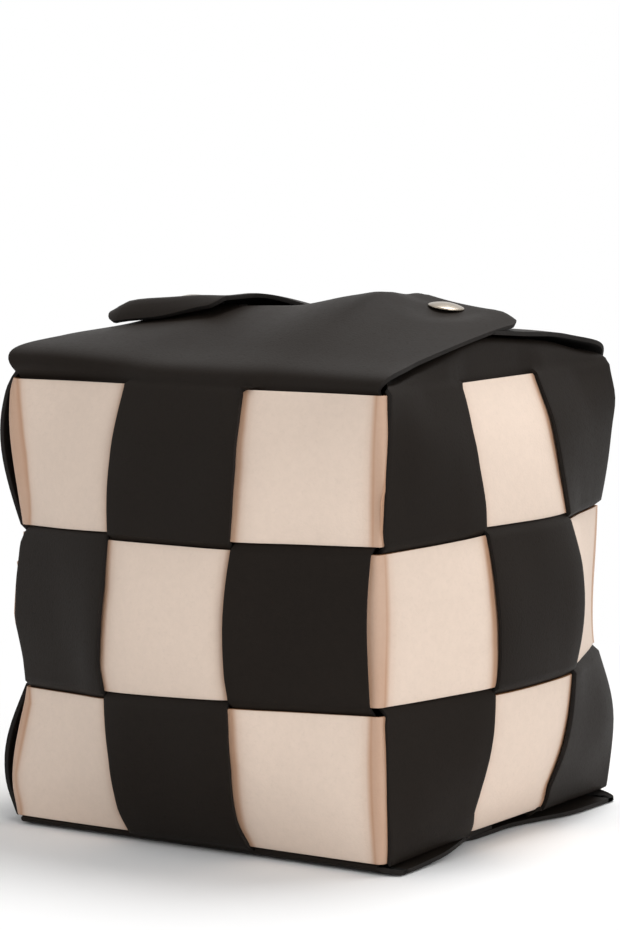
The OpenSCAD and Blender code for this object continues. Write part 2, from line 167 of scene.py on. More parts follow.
# How far the strips' edges swing to the side (mm): face, place across it, reach of the swing, heights, and
# the swing at each of them
SWINGS = ((0, -64.5, 22, (5, 16, 27, 38, 45, 52, 63, 75, 86, 91, 95, 100, 112, 123, 134),
           (0, -2.5, -1.5, -0.6, -2.4, -3.4, -6.0, -4.8, -2.7, 0.2, 1.2, 1.9, 2.4, 1.4, 0)),
          (0, -21.5, 20, (5, 16, 27, 38, 46, 52, 63, 75, 112, 123, 134),
           (-1.5, -0.6, -0.4, -1.2, -1.7, -2.4, -1, 0.3, 0, -0.6, -1.4)),
          (0, 21.5, 20, (5, 16, 27, 38, 52, 75, 93, 100, 112, 123, 134),
           (-2.0, -0.5, 1.3, 1.6, 0.8, 1.6, 2.0, 2.2, 1.7, -0.2, -2.6)),
          (1, -64.5, 18, (5, 20, 40, 46, 88, 95, 105, 114, 124, 134),
           (0, -1.2, -1.2, 0, 0, -2.4, -3.0, -2.4, -0.6, 0)),
          (1, -21.5, 20, (5, 12, 23, 33, 47, 59, 71, 84, 98, 109, 120, 134),
           (-4.6, -5.4, -4.9, -3.6, -3.2, -5.2, -5.2, -3.9, -2.9, -3.8, -3.0, -0.4)),
          (1, 21.5, 20, (5, 17, 28, 42, 53, 65, 77, 91, 104, 117, 127, 134),
           (-4.6, -4.6, -3.1, -0.2, 1.3, 2.2, 2.5, 0.7, -1.5, -2.4, -1.4, -0.5)))


def swing(face, u, z):
    """Sideways swing of the weave at a place on a face; none at the folds."""
    total = 0 * (np.asarray(u, float) + z)
    for where, place, reach, heights, values in SWINGS:
        if where == face:
            total = total + np.interp(z, heights, values) * (1 - step(np.abs(u - place), 0, reach))
    return total * step(z, SIDE_FOOT_Z, 13) * (1 - step(z, 133.9, WALL_H - 1.5))


class Form:
    """Places on the bulged cover, worked out from the sizes."""

    # For the end faces and the side faces: share of the bulge, how far it sags, and how the top edge draws in
    SWELLS = ((1.08, 0.2, 1.2), (1.01, 0.5, 2.6))

    def __init__(self, sizes):
        self.bulge_mm = sizes.face_bulge / MM
        self.puff = sizes.row_puff / MM
        self.over = sizes.over_puff / MM
        self.sway_mm = sizes.sway / MM

    def bulge(self, face, z):
        """Outward swell of a face's middle at a height."""
        share, sag, _ = self.SWELLS[face % 2]
        t = 2 * (z - FOOT_Z) / (WALL_H - FOOT_Z) - 1
        return self.bulge_mm * share * np.maximum(0, 1 - t ** 2) * (1 - sag * t)

    def corner(self, z):
        """How far the corners stand from the middle; they draw in where the faces swell."""
        return HALF - ((self.bulge(0, z) + self.bulge(1, z)) / 2) ** 2 / (2 * PITCH)

    @staticmethod
    def share(s):
        """Share of the swell from a face's middle (0) to its corner (1): level, a soft turn, then down."""
        turn, soft = 1 / 3, 0.15
        curve = 1 - 1.5 * (s - turn + soft) ** 2 / (4 * soft)
        return np.where(s < turn - soft, 1.0, np.where(s > turn + soft, 1.5 * (1 - s), curve))

    @staticmethod
    def wave(z):
        """Swell over the height of each woven row; none where two rows meet."""
        total = np.zeros_like(np.asarray(z, float))
        for lo, h in zip(BAND_LOS, BAND_HS):
            swell = np.sin(np.pi * np.clip((z - lo) / h, 0, 1))
            total = total + np.where((z >= lo) & (z <= lo + h), swell, 0)
        return total

    @staticmethod
    def side(i, phase, z):
        """+1 where strip i lies over the band at height z, -1 where it lies under, a ramp between."""
        knots, values = [FOOT_Z], [0.0]
        for r, (lo, h) in enumerate(zip(BAND_LOS, BAND_HS)):
            s = 1.0 if (i + r + phase) % 2 == 1 else -1.0
            knots += [lo, lo + h]
            values += [s, s]
        knots, values = knots + [WALL_H], values + [0.0]
        return np.interp(z, knots, values)

    def loose(self, face, u, z):
        """Where the left panel stands off at the front corner, and the right one at the rear corner."""
        if face == 1:
            at_rear = (3.4 * hump(z, 29, 15) + 1.2 * hump(z, 124, 7)) * step(u, 22, 60)
            return at_rear - 1.2 * hump(u, -21.5, 14) * step(z, 8, 20) * (1 - step(z, 118, 132))
        if face != 3:
            return 0 * (u + z)
        at_front = 1.0 + 1.0 * hump(z, 120, 15) + 1.2 * hump(z, 24, 14)
        return at_front * step(z, 3, 14) * (1 - step(z, 130, WALL_H)) * (1 - step(HALF - u, 10, 46))

    def uneven(self, face, x, z):
        """The same slow waviness for strips and bands, so that they keep their distance."""
        x, z = np.broadcast_arrays(np.asarray(x, float), np.asarray(z, float))
        fade = np.clip(np.minimum(z - 4, 134 - z) / 14, 0, 1)
        wobble = [noise.noise(Vector((a / 27 + 7.3 * face, b / 31, 3.1 * face)))
                  for a, b in zip(x.ravel(), z.ravel())]
        return self.sway_mm * 2 * np.array(wobble).reshape(x.shape) * fade

    def face_x(self, face, u, z):
        """Place across a face, between its corners."""
        return u * self.corner(z) / HALF + swing(face, u, z)

    def face_w(self, face, u, z):
        """How far out the cover's form lies there."""
        drawn_in = self.SWELLS[face % 2][2] * step(z, 116, WALL_H)
        share = self.share(np.abs(u) / HALF)
        swell = self.bulge(face, z) * share - drawn_in * np.clip(2 * share, 0, 1)
        return self.corner(z) + swell + self.loose(face, u, z)

    def strip_off(self, i, face, u, z):
        """Distance of a strip from the form; at the front corner the left one lifts, the right one sinks."""
        s, wave = self.side(i, face % 2, z), self.wave(z)
        lifted = 2.6 * step(u, 44, FLAP_HALF) * (face == 3) - 1.0 * step(-u, 50, FLAP_HALF) * (face == 1)
        return self.puff * wave + s * WEAVE + np.where(s > 0, (self.over + lifted) * wave, 0)


def turned(points, face):
    """Points of the front face carried round to another face: 0 front, 1 right, 2 rear, 3 left."""
    x, y, z = points[..., 0], points[..., 1], points[..., 2]
    for _ in range(face):
        x, y = -y, x
    return np.stack([x, y, z], axis=-1)


def spread(lo, hi, n, ends=0.0):
    """n + 1 places from lo to hi; ends draws them closer together at both ends."""
    t = np.linspace(0, 1, n + 1)
    t = t - ends * np.sin(2 * np.pi * t) / (2 * np.pi)
    return lo + t * (hi - lo)


def smooth(values, n):
    """Running mean over 2 n + 1 values."""
    return np.convolve(np.pad(values, n, "edge"), np.ones(2 * n + 1) / (2 * n + 1), "valid")


# Blanks are cut flat from a grid, slit, and then bent to their places
def deselect():
    for o in bpy.context.selected_objects:
        o.select_set(False)


def blank(name, places, cut=None, ring=False, painted_shade=None):
    """A leather blank: a grid of rows and columns, cut out where cut says so, bent to the places (mm).

    A ring's first and last columns are joined; the last argument gives each place its share of painted shade.
    """
    rows, cols = places.shape[:2]
    deselect()
    bpy.ops.mesh.primitive_grid_add(x_subdivisions=cols - 1, y_subdivisions=rows - 1, size=2)
    piece = bpy.context.object
    piece.name = piece.data.name = name
    mesh = piece.data
    here = np.empty(len(mesh.vertices) * 3)
    mesh.vertices.foreach_get("co", here)
    here = here.reshape(-1, 3)
    i = np.rint((here[:, 0] + 1) / 2 * (cols - 1)).astype(int)
    j = np.rint((here[:, 1] + 1) / 2 * (rows - 1)).astype(int)
    # Share of painted shade at each place, read by the band's finish
    if painted_shade is not None:
        shade_share = mesh.attributes.new("painted_shade", "FLOAT", "POINT")
        shade_share.data.foreach_set("value", painted_shade[j, i].ravel().astype(np.float32))
    mesh.vertices.foreach_set("co", (places[j, i] * MM).ravel())
    mesh.update()
    if cut is not None:
        bpy.ops.object.mode_set(mode="EDIT")
        bpy.ops.mesh.select_mode(type="FACE")
        bpy.ops.mesh.select_all(action="DESELECT")
        bpy.ops.object.mode_set(mode="OBJECT")
        for face in mesh.polygons:
            corner = min(face.vertices, key=lambda v: (j[v], i[v]))
            face.select = bool(cut[j[corner], i[corner]])
        bpy.ops.object.mode_set(mode="EDIT")
        bpy.ops.mesh.delete(type="FACE")
        bpy.ops.object.mode_set(mode="OBJECT")
    if ring:
        bpy.ops.object.mode_set(mode="EDIT")
        bpy.ops.mesh.select_all(action="SELECT")
        bpy.ops.mesh.remove_doubles(threshold=0.02 * MM)
        bpy.ops.object.mode_set(mode="OBJECT")
    return piece


def thicken(piece, thickness, rounding, finishes):
    """Gives a blank its thickness, rounds its cut edges and sets grain, flesh and edge finishes."""
    piece.data.materials.clear()
    for material in finishes:
        piece.data.materials.append(material)
    wall = piece.modifiers.new("Thickness", "SOLIDIFY")
    wall.thickness, wall.offset, wall.use_even_offset = thickness, 0, True
    wall.material_offset, wall.material_offset_rim = 1, 2
    edge = piece.modifiers.new("Cut edges", "BEVEL")
    edge.width, edge.segments, edge.limit_method, edge.angle_limit = rounding, 2, "ANGLE", math.radians(55)
    edge.use_clamp_overlap = True
    bpy.context.view_layer.objects.active = piece
    for modifier in list(piece.modifiers):
        bpy.ops.object.modifier_apply(modifier=modifier.name)
    deselect()
    piece.select_set(True)
    bpy.ops.object.shade_smooth_by_angle(angle=math.radians(48))
    return piece


# Steps across a strip, and the columns of cells that the two slits take up
STRIP_NS = 22
SLIT_COLUMNS = [STRIP_NS, 2 * STRIP_NS + 1]


def strip_columns():
    """Columns of a panel: strip number and place across the face, with a slit between strips."""
    return [(i, u) for i in range(3) for u in spread(STRIP_LOS[i], STRIP_HIS[i], STRIP_NS, 0.35)]


def slit_cells(places, slits):
    """Cells of a blank that are cut out: those of its two slits, over some of its rows."""
    cut = np.zeros((places.shape[0] - 1, places.shape[1] - 1), bool)
    cut[slits, SLIT_COLUMNS] = True
    return cut


def wall_heights(foot):
    """Rows of a wall, crowded where two bands meet."""
    rows = [foot]
    for lo, h in zip(BAND_LOS, BAND_HS):
        rows += list(spread(lo, lo + h, 20, 0.4))
    return np.array(rows + [WALL_H - 1.5])


def ledge(face, x):
    """How far the corners of the lower folds stand out sideways."""
    out = np.where((face == 0) & (x < 0), LEDGE_LEFT, LEDGE_OUT)
    return np.sign(x) * out * step(np.abs(x), SNAP_X + FLANGE_R, FLAP_HALF)


def wall_places(form, face, foot, low, land, narrow, columns):
    """Mid-surface of a panel's lower fold and wall, in its own face's frame, and the rows that are slit.

    The fold is a quarter of an ellipse with the half axes low, behind a flat land. There the panel narrows
    to the share narrow of its width.
    """
    rows = []
    u = np.array([c[1] for c in columns])
    strips = [c[0] for c in columns]

    def off(z):
        return np.array([form.strip_off(i, face, v, z) for i, v in zip(strips, u)])

    turns = [math.radians(a) for a in (90, 72, 54, 36, 18)]
    for run, a in [(land, turns[0])] * (land > 0) + [(0, a) for a in turns]:
        w = form.face_w(face, u, foot) + off(foot) * math.cos(a) - low[0] * (1 - math.cos(a)) - run
        k = narrow + (1 - narrow) * (1 - math.sin(a))
        x = form.face_x(face, u, foot) * k + (face % 2 == 0) * ledge(face, u) * math.sin(a)
        z = foot - low[1] * math.sin(a)
        rows.append(np.stack([x, -w, z + pull(face, u, z)], axis=1))
    slit_from = len(rows)
    for z in wall_heights(foot):
        w = form.face_w(face, u, z) + off(z) + form.uneven(face, u, z)
        rows.append(np.stack([form.face_x(face, u, z), -w, z + pull(face, u, z)], axis=1))
    rows = np.array(rows)
    rows[-1, :, 1] = smooth(rows[-1, :, 1], 4)
    return rows, slice(slit_from, len(rows) - 2)


# Height of a wide top flap's mid-surface, drawn for the front flap
def rise_share(x, y):
    """Share of the dome's rise: the middle of the flap is level sooner than its sides."""
    sides = step(np.abs(x), 24, 46)
    crest = CREST_Y * sides
    t = np.clip((np.asarray(y, float) - FOLD_Y) / (crest - FOLD_Y), 0, 1)
    power = 1.3 - 0.15 * sides
    left = ((1 - t) ** 2 + CREST_SOFT ** 2) ** (power / 2)
    first, last = (1 + CREST_SOFT ** 2) ** (power / 2), CREST_SOFT ** power
    return (first - left) / (first - last)


def near(x, y, reach):
    """1 on a snap fastener's seat, falling to 0; the fall is shorter towards the flap's end."""
    return 1 - step(np.hypot(x, np.where(y > 0, 1.6 * y, y)), CAP_SEAT_R, reach)


def free_top(face, x, y):
    """Height before the snap fasteners draw the leather level: dome, lift of the tab and swells."""
    x, y = np.asarray(x, float), np.asarray(y, float)
    tab, dome = TABS[face], DOMES[face]
    arch = dome.height - dome.drop * (x / HALF) ** 2 - dome.curl * step(x, FLAP_HALF - 1.2 * TAB_R, HALF)
    lift = -UNDER_DROP + (OVER_LIFT + UNDER_DROP) * step(x, -7, 25)
    over = np.clip((y - tab.bend_y) / (tab.reach - tab.bend_y), 0, None)
    droop = TAB_DROOP * (tab.kept_droop + (1 - tab.kept_droop) * step(x, 22, 46))
    corner = dome.swell * step(-x, 10, 55) * (1 - (1 - dome.kept_swell) * step(y, -50, -5))
    roll = dome.roll * hump(y, 15, 2.6) * step(x, 20, 36) * (1 - step(x, 48, 66))
    by_slot = 1.1 * hump(x, 26.5, 5.5) * step(y, -30, -6)
    by_slot = (by_slot - 1.2 * hump(x, 27, 4.5) * step(y, -2, 12)) * (face == 0)
    rear = 1.9 * hump(y, -40, 19) * step(-x, 30, 58) * (face == 2)
    return TOP_FOLD_Z + (arch + lift) * rise_share(x, y) - droop * over ** 2 + corner + roll + by_slot + rear


def seat_z():
    """Height of the upper flap's mid-surface under a snap fastener's cap, as in the solid model."""
    t = (SNAP_Y - FOLD_Y) / (CREST_Y - FOLD_Y)
    rise = 1 - (1 - t) ** 1.15
    return TOP_FOLD_Z + (DOME_H - DOME_DROP * (SNAP_X / HALF) ** 2 + OVER_LIFT) * rise - SNAP_PRESS


def top_z(face, x, y):
    """Height with the leather drawn level at both of the flap's snap fasteners."""
    z = free_top(face, x, y)
    over = seat_z() - free_top(face, SNAP_X, SNAP_Y)
    under = seat_z() - SNAP_STACK - free_top(face, -SNAP_X, -SNAP_Y)
    over = over * near(x - SNAP_X, y - SNAP_Y, CAP_DRAW_R)
    return z + over + under * near(x + SNAP_X, y + SNAP_Y, CAP_DRAW_R)


def corner_cut(d, radius):
    """How far a rounded corner is cut back at distance d from the side."""
    d = np.clip(d, 0, radius)
    return radius - np.sqrt(radius ** 2 - (radius - d) ** 2)


def notch_edge(x, tab_x):
    """Edge of the slot between the tab and the part under the other tab, with round inner corners."""
    d = np.clip(np.maximum(UNDER_X + NOTCH_R - x, x - tab_x + NOTCH_R), 0, NOTCH_R)
    return SLOT_EDGE + NOTCH_R - np.sqrt(NOTCH_R ** 2 - d ** 2)


def flap_edge(x, tab, under_reach, round_under):
    """Far edge of a wide flap: the tab on the right, the notch, and the part that lies under on the left."""
    end = tab.reach - corner_cut(x - tab.inner_x, tab.inner_r) - corner_cut(FLAP_HALF - x, tab.outer_r)
    under = under_reach - corner_cut(FLAP_HALF + x, TAB_R) * round_under
    left = np.where(x <= UNDER_X + TINY, under, notch_edge(x, tab.inner_x))
    return np.where(x >= tab.inner_x - TINY, end, left)


def flap_columns(tab):
    """Columns of an end panel; those of the right strip crowd where the tab's corners turn."""
    left = np.concatenate([spread(STRIP_LOS[0], UNDER_X, STRIP_NS - 4, 0.5),
                           spread(UNDER_X, STRIP_HIS[0], 4)[1:]])
    middle = spread(STRIP_LOS[1], STRIP_HIS[1], STRIP_NS, 0.35)
    quarter = 1 - np.cos(np.linspace(0, np.pi / 2, 8))
    right = np.concatenate([spread(STRIP_LOS[2], tab.inner_x, 4 if tab.inner_x > 24 else 1)[:-1],
                            tab.inner_x + tab.inner_r * quarter,
                            spread(tab.inner_x + tab.inner_r, FLAP_HALF - tab.outer_r, 10)[1:-1],
                            (FLAP_HALF - tab.outer_r * quarter)[::-1]])
    return [(i, u) for i, us in enumerate((left, middle, right)) for u in us]


def shoulder(start, out, end, slope, reach_up, reach_in, n):
    """Soft fold of a panel, seen from the side as (w, z): a curve from the wall's top to the flap."""
    t = np.linspace(0, 1, n + 1)[1:-1, None]
    start, end = np.array(start), np.array(end)
    a = start + reach_up * np.array([out, 1.0])
    b = end + reach_in * np.array([1.0, -slope])
    return (1 - t) ** 3 * start + 3 * t * (1 - t) ** 2 * a + 3 * t * t * (1 - t) * b + t ** 3 * end


# Rows of the soft fold, of a wide flap up to the slot, of its tab, and of a lower flap up to the slot
FOLD_ROWS, FLAP_ROWS, TAB_ROWS, LOW_ROWS = 16, 24, 16, 30
# How far from the middle the soft fold ends, and the lower flaps' mesh begins
FLAP_START, LOW_START = -44.0, -61.5


def end_panel_places(form, face):
    """A front or rear panel: lower fold, wall, soft upper fold and wide flap, in its own face's frame."""
    tab = TABS[face]
    columns = flap_columns(tab)
    wall, slits = wall_places(form, face, FOOT_Z, (3.0, 1.95), 3.0, 1.0, columns)
    x = np.array([c[1] for c in columns])
    bend = []
    for k, ux in enumerate(x):
        start = (-wall[-1, k, 1], wall[-1, k, 2])
        z1, z2 = float(top_z(face, ux, FLAP_START)), float(top_z(face, ux, FLAP_START + 1))
        left, right = float(step(-ux, 10, 55)) * (1.0 if face == 0 else 0.15), float(step(ux, 20, 58))
        reach_up, reach_in = 5.4 + 2.1 * left - 1.2 * right, 15 + 2 * left - 1.5 * right
        bend.append(shoulder(start, 1.4 * left, (-FLAP_START, z1), z2 - z1, reach_up, reach_in, FOLD_ROWS))
    bend = np.array(bend)
    closing = np.sin(np.pi * np.linspace(0, 1, FOLD_ROWS + 1)[1:-1, None]) * CORNER_GAP
    fold_x = x + closing * np.sign(x) * step(np.abs(x), 56, FLAP_HALF)
    fold = np.stack([fold_x, -bend[..., 0].T, bend[..., 1].T], axis=-1)
    in_slot = (x > UNDER_X + TINY) & (x < tab.inner_x - TINY)
    inner = np.where(in_slot, notch_edge(x, tab.inner_x), SLOT_EDGE + NOTCH_R)
    flap = []
    for t in np.linspace(0, 1, FLAP_ROWS):
        y = FLAP_START + t * (inner - FLAP_START)
        flap.append(np.stack([x, y, top_z(face, x, y)], axis=1))
    far = np.where(in_slot, inner + 0.5, flap_edge(x, tab, 3.5, 0.5))
    for t in np.linspace(0, 1, TAB_ROWS)[1:]:
        y = inner + t * (far - inner)
        flared = x + tab.flare * step(y, 2, 16) * step(x, 30, FLAP_HALF)
        flap.append(np.stack([flared, y, top_z(face, x, y)], axis=1))
    places = np.concatenate([wall, fold, np.array(flap)])
    cut = slit_cells(places, slits)
    in_middle = (x[:-1] > UNDER_X - TINY) & (x[1:] < tab.inner_x + TINY)
    cut[len(wall) + len(fold) + FLAP_ROWS - 1:, in_middle] = True
    return places, cut


# Where the side panels' margins meet the flaps' edges, and how far below the flaps' mid-surface
EDGE_X, UNDER_FLAP = 61.5, 2.2


def side_panel_places(form, face):
    """A left or right panel: lower fold, wall, upper fold and the short flap that is tucked in."""
    columns = strip_columns()
    u = np.array([c[1] for c in columns])
    narrow = TUCK_HALF / FLAP_HALF
    wall, slits = wall_places(form, face, SIDE_FOOT_Z, (4.5, 0.65), 0, narrow, columns)
    over, under = (0, 2) if face == 1 else (2, 0)
    z_top = np.where(u < -3, top_z(over, EDGE_X, u), top_z(under, -EDGE_X, -u)) - UNDER_FLAP
    z_top = smooth(z_top, 3)
    bend = []
    for k, z in enumerate(z_top):
        start = (-wall[-1, k, 1], wall[-1, k, 2])
        bend.append(shoulder(start, -0.25, (TOP_TUCK_W, z), 0.25, 0.6 * (z - start[1]), 2.6, 8))
    bend = np.array(bend)
    t = np.linspace(0, 1, bend.shape[1] + 2)[1:-1]
    fold_x = u[None, :] * (1 + (narrow - 1) * step(t, 0, 1)[:, None])
    fold = np.stack([fold_x, -bend[..., 0].T, bend[..., 1].T], axis=-1)
    tuck = []
    for d in np.linspace(0, TOP_TUCK_LEN, 12):
        half_width = TUCK_HALF - d * (d > 0.8)
        y = np.full_like(u, -(TOP_TUCK_W - d))
        tuck.append(np.stack([u / FLAP_HALF * half_width, y, z_top + 0.12 * d], axis=1))
    places = np.concatenate([wall, fold, np.array(tuck)])
    return places, slit_cells(places, slits)


# How far the painted shade reaches from a strip's edge on to a band (mm), where the band dives under the
# strip
SHADE_REACH = 1.1


def band_side(form, r, f, z):
    """One row of a band along one face, in that face's frame, and its share of painted shade."""
    wave = math.sin(math.pi * (z - BAND_LOS[r]) / BAND_HS[r])
    line, shade_share = [], []
    for i in range(3):
        us = spread(STRIP_LOS[i], STRIP_HIS[i], 18, 0.3)
        q = (us - STRIP_LOS[i]) / (STRIP_HIS[i] - STRIP_LOS[i])
        side = 1.0 if (i + r + f) % 2 == 1 else -1.0
        off = form.puff * wave - side * form.over * np.sin(np.pi * q) * wave + form.uneven(f, us, z)
        out = form.face_w(f, us, z) + off
        line.append(np.stack([form.face_x(f, us, z), -out, z + pull(f, us, z)], axis=1))
        nearest = np.minimum(us - STRIP_LOS[i], STRIP_HIS[i] - us)
        # Painted shade: the band darkens towards each strip that it dives under, and is fully shaded where a
        # strip covers it
        shade_share.append(np.exp(-nearest / SHADE_REACH) if side < 0 else np.ones_like(us))
    return np.concatenate(line), np.concatenate(shade_share)


def band_places(form, r):
    """One woven band as a closed loop of columns, row by row from its lower edge, and its share of painted
    shade.
    """
    rows, shade_share = [], []
    for z in spread(BAND_LOS[r], BAND_LOS[r] + BAND_HS[r], 22, 0.4):
        sides = [band_side(form, r, f, z) for f in range(4)]
        line = [turned(side[0], f) for f, side in enumerate(sides)]
        loop, shade_loop = [], []
        for f in range(4):
            a, b = line[f][-1], line[(f + 1) % 4][0]
            tip = turned(np.array([turned(b, 4 - f)[0], turned(a, 4 - f)[1], (a[2] + b[2]) / 2]), f)
            t = np.linspace(0, 1, 8)[1:-1, None]
            loop += [line[f], (1 - t) ** 2 * a + 2 * t * (1 - t) * tip + t * t * b]
            # Painted shade where the band turns round a corner
            shade_loop += [sides[f][1], np.full(len(t), 0.8)]
        loop, shade_loop = np.concatenate(loop), np.concatenate(shade_loop)
        rows.append(np.concatenate([loop, loop[:1]]))
        shade_share.append(np.concatenate([shade_loop, shade_loop[:1]]))
    return np.array(rows), np.array(shade_share)


# Where a lower wide flap begins to turn down to its side edge, and where it lies flat there
LOW_LEVEL = (SNAP_X + 5.52, FLAP_HALF - 6.9)


def bottom_z(x, y):
    """Mid-surface of a front bottom flap: its tab on the left lies lowest, next to the table."""
    edge = step(np.abs(x), *LOW_LEVEL)
    side = step(x, -18, 18)
    free = CAP_HEAD + side * SNAP_STACK
    low = side * WEAVE
    return LEATHER / 2 + (free * (1 - edge) + low * edge) * step(y, FOLD_Y, FOLD_Y / 2)


def bottom_flap_places(face):
    """A bottom flap from its fold to its far edge, drawn for the front."""
    tab = TABS[0]
    u = -np.array([c[1] for c in flap_columns(tab)])[::-1]
    in_slot = np.abs(u) < tab.inner_x - TINY
    inner = np.where(in_slot, notch_edge(-u, tab.inner_x), SLOT_EDGE + NOTCH_R)
    rows = []
    for t in np.linspace(0, 1, LOW_ROWS):
        y = LOW_START + t * (inner - LOW_START)
        x = u + ledge(face, u) * step(-y, TAB_R, SNAP_X)
        rows.append(np.stack([x, y, bottom_z(u, np.maximum(y, FOLD_Y))], axis=1))
    far = np.where(in_slot, inner + 0.5, flap_edge(-u, tab, -0.5, 0.0))
    for t in np.linspace(0, 1, TAB_ROWS)[1:]:
        y = inner + t * (far - inner)
        rows.append(np.stack([u, y, bottom_z(u, y)], axis=1))
    places = np.array(rows)
    cut = np.zeros((len(places) - 1, len(u) - 1), bool)
    in_middle = (u[:-1] > -tab.inner_x - TINY) & (u[1:] < tab.inner_x + TINY)
    cut[LOW_ROWS - 1:, in_middle] = True
    return places, cut


def bottom_tuck_places():
    """A lower side flap, from its fold upward into the cover."""
    slope = math.radians(20)
    rows = []
    for d in np.linspace(0, LOW_TUCK_LEN, 12):
        w, z = LOW_TUCK_W - d * math.cos(slope), LOW_TUCK_Z + d * math.sin(slope)
        half_width = TUCK_HALF - d
        x = np.linspace(-half_width, half_width, 40)
        rows.append(np.stack([x, np.full_like(x, -w), np.full_like(x, z)], axis=1))
    return np.array(rows), None


# Finishes
class Socket:
    """An output of a node tree; sums on it add Math nodes."""

    def __init__(self, finish, output):
        self.finish, self.output = finish, output

    def maths(self, operation, other):
        return self.finish.node("ShaderNodeMath", {"operation": operation}, self, other)

    def __add__(self, other):
        return self.maths("ADD", other)

    def __sub__(self, other):
        return self.maths("SUBTRACT", other)

    def __mul__(self, other):
        return self.maths("MULTIPLY", other)

    __radd__ = __add__

    def between(self, low, high):
        """0 below low, 1 above high, smooth between them."""
        return self.finish.node("ShaderNodeMapRange", {"interpolation_type": "SMOOTHSTEP"}, self, low, high)


class Finish:
    """A new material whose nodes are written as expressions."""

    def __init__(self, name):
        self.material = bpy.data.materials.new(name)
        self.material.use_nodes = True
        self.tree = self.material.node_tree
        self.shader = self.tree.nodes["Principled BSDF"]
        self.out = self.tree.nodes["Material Output"]
        self.place = self.node("ShaderNodeTexCoord", output="Object")

    def node(self, kind, settings=None, *values, output=0, **named):
        """Adds a node with its settings; values go to its inputs by place, named ones by name."""
        made = self.tree.nodes.new(kind)
        for key, value in (settings or {}).items():
            setattr(made, key, value)
        for key, value in [*enumerate(values), *named.items()]:
            self.put(made.inputs[key], value)
        return Socket(self, made.outputs[output])

    def put(self, socket, value):
        if isinstance(value, Socket):
            self.tree.links.new(value.output, socket)
        elif socket.type == "RGBA" and len(value) == 3:
            socket.default_value = (*value, 1)
        else:
            socket.default_value = value

    def noise(self, scale, detail, **more):
        return self.node("ShaderNodeTexNoise", None, output="Fac", Vector=self.place,
                         Scale=scale, Detail=detail, **more)

    def bump(self, strength, distance, height):
        return self.node("ShaderNodeBump", None, output="Normal",
                         Strength=strength, Distance=distance, Height=height)

    def mix(self, factor, a, b):
        made = self.tree.nodes.new("ShaderNodeMix")
        made.data_type = "RGBA"
        for key, value in ((0, factor), (6, a), (7, b)):
            self.put(made.inputs[key], value)
        return Socket(self, made.outputs[2])

    def surface(self, **values):
        """Sets the shader's inputs; a name's low lines stand for spaces."""
        for key, value in values.items():
            self.put(self.shader.inputs[key.replace("_", " ")], value)
        return self.material


def scaled(tint, k):
    return tuple(min(1.0, c * k) for c in tint)


def grain_leather(name, tint, roughness, specular, depth, mottle, shade_tint=None):
    """Fine-grained calf leather: small pebbles, pores, slow shifts of tone, and, where a tint is given,
    painted shade where the weave passes under.
    """
    f = Finish(name)
    pebble = f.node("ShaderNodeTexVoronoi", {"feature": "SMOOTH_F1"}, output="Distance",
                    Vector=f.place, Scale=1500, Smoothness=0.6)
    fine = f.noise(2600, 3)
    patch = f.noise(22, 2)
    fleck = f.noise(420, 4, Roughness=0.65)
    tone = patch.between(0.3, 0.7) * 0.55 + fleck.between(0.3, 0.7) * 0.45
    colour_now = f.mix(tone, scaled(tint, 1 - mottle), scaled(tint, 1 + mottle))
    pores = pebble.between(0.55, 0.95)
    colour_now = f.mix(pores * 0.35, colour_now, scaled(tint, 1 - 2.4 * mottle))
    # Painted shade: the band turns brown where it dives under the strips and round the corners
    if shade_tint:
        shade_share = f.node("ShaderNodeAttribute", {"attribute_name": "painted_shade"}, output="Fac")
        colour_now = f.mix(shade_share * (0.45 + patch * 0.5), colour_now, shade_tint)
    bump = f.bump(0.55, depth, pebble * -0.7 + fine * 0.45 + fleck * 0.5)
    rough = roughness + (fleck - 0.5) * 0.12 + pores * 0.06
    return f.surface(Base_Color=colour_now, Roughness=rough, Normal=bump, Specular_IOR_Level=specular)


def flesh_leather(name, tint):
    """The napped inner side of the leather."""
    f = Finish(name)
    nap = f.noise(1800, 5, Roughness=0.7)
    cloud = f.noise(90, 3)
    colour_now = f.mix(nap * 0.6 + cloud * 0.4, scaled(tint, 0.75), scaled(tint, 1.25))
    bump = f.bump(0.6, 0.00015, nap)
    return f.surface(Base_Color=colour_now, Roughness=0.92, Normal=bump, Specular_IOR_Level=0.2)


def cut_edge(name, tint, tint_deep):
    """The cut edge: packed fibres, darker where the dye has run in."""
    f = Finish(name)
    fibre = f.noise(1500, 4, Roughness=0.7)
    run = f.noise(160, 2)
    colour_now = f.mix(run.between(0.35, 0.65) * 0.6 + fibre * 0.4, tint, tint_deep)
    bump = f.bump(0.5, 0.0001, fibre)
    return f.surface(Base_Color=colour_now, Roughness=0.8, Normal=bump, Specular_IOR_Level=0.25)


def plated(name, tint):
    """Satin nickel plate with fine turning marks and slight tarnish."""
    f = Finish(name)
    tarnish = f.noise(320, 3)
    scuff = f.noise(3200, 2)
    colour_now = f.mix(tarnish.between(0.4, 0.75) * 0.5, tint, scaled(tint, 0.72))
    bump = f.bump(0.15, 0.00003, scuff)
    return f.surface(Base_Color=colour_now, Metallic=1.0, Roughness=0.24 + tarnish * 0.12, Normal=bump)


def black_leather(colours):
    """Grain, flesh side and cut edge of the panels."""
    return [grain_leather("Black leather", tuple(colours.black), 0.55, 0.07, 0.00007, 0.10),
            flesh_leather("Black leather flesh side", tuple(colours.black_flesh)),
            cut_edge("Black leather cut edge", tuple(colours.black_edge), scaled(colours.black_edge, 0.5))]


